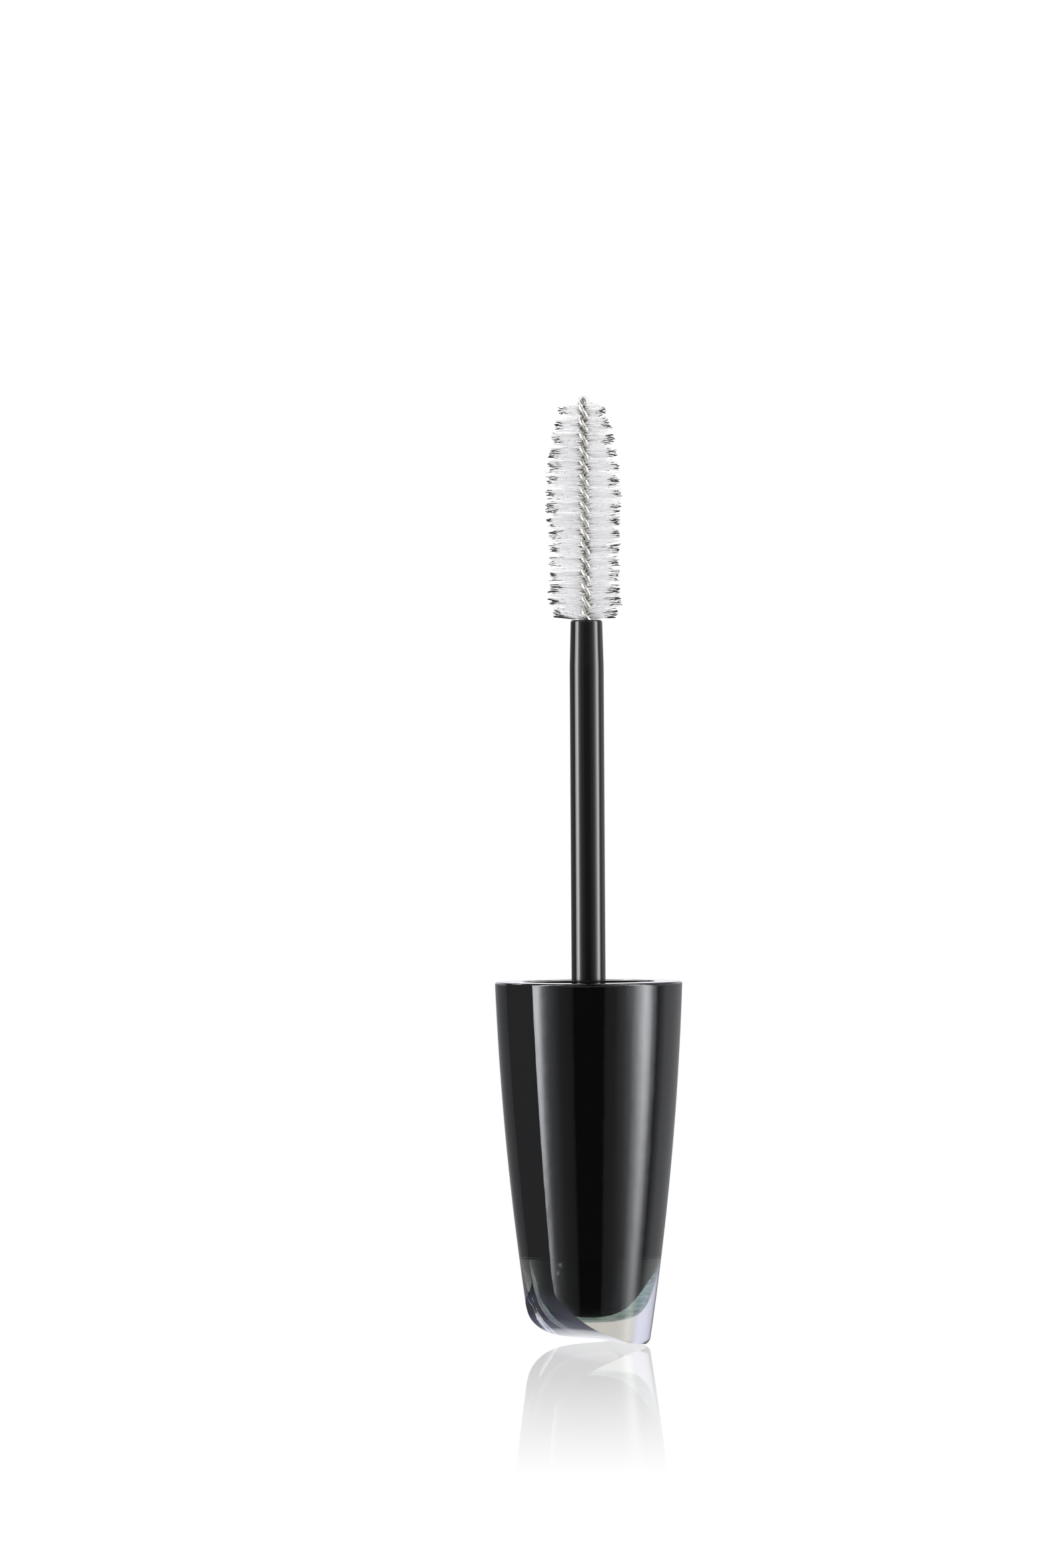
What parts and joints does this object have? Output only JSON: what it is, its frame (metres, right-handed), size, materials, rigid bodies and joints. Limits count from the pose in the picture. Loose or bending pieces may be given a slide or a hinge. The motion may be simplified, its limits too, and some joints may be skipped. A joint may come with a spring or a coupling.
{
  "type": "mascara applicator",
  "caption": "Cosmetic applicator: tapered clear-over-black screw cap with a creased, slanted end, a slim stem and a twisted-wire fibre brush.",
  "frame": {"origin": "centre of the cap's mouth, in the plane of its rim", "axes": "+Z out of the mouth along the stem to the brush; -Z to the cap's closed end; -Y is the front, where the cap's crease runs; +X is the side where the closed end reaches lowest"},
  "size_m": [0.022, 0.022, 0.1111],
  "materials": {
    "clear_shell": "polished clear moulded plastic, faint green tint",
    "teal_adhesive": "set adhesive, blue-green, seen through the clear shell",
    "black_gloss": "gloss black",
    "black_closure": "satin black",
    "black_stem": "gloss black",
    "steel_wire": "bright drawn stainless wire",
    "fibre": "translucent nylon fibres with black tips"
  },
  "bodies": {
    "root": {"outer_shell": "clear_shell", "adhesive_bed": "teal_adhesive", "inner_cup": "black_gloss", "thread_insert": "black_closure", "stem": "black_stem", "core_wire": "steel_wire", "bristle_row_01": "fibre", "bristle_row_02": "fibre", "bristle_row_03": "fibre", "bristle_row_04": "fibre", "bristle_row_05": "fibre", "bristle_row_06": "fibre", "bristle_row_07": "fibre", "bristle_row_08": "fibre", "bristle_row_09": "fibre", "bristle_row_10": "fibre", "bristle_row_11": "fibre", "bristle_row_12": "fibre", "bristle_row_13": "fibre", "bristle_row_14": "fibre", "bristle_row_15": "fibre", "bristle_row_16": "fibre"}
  },
  "joints": []
}
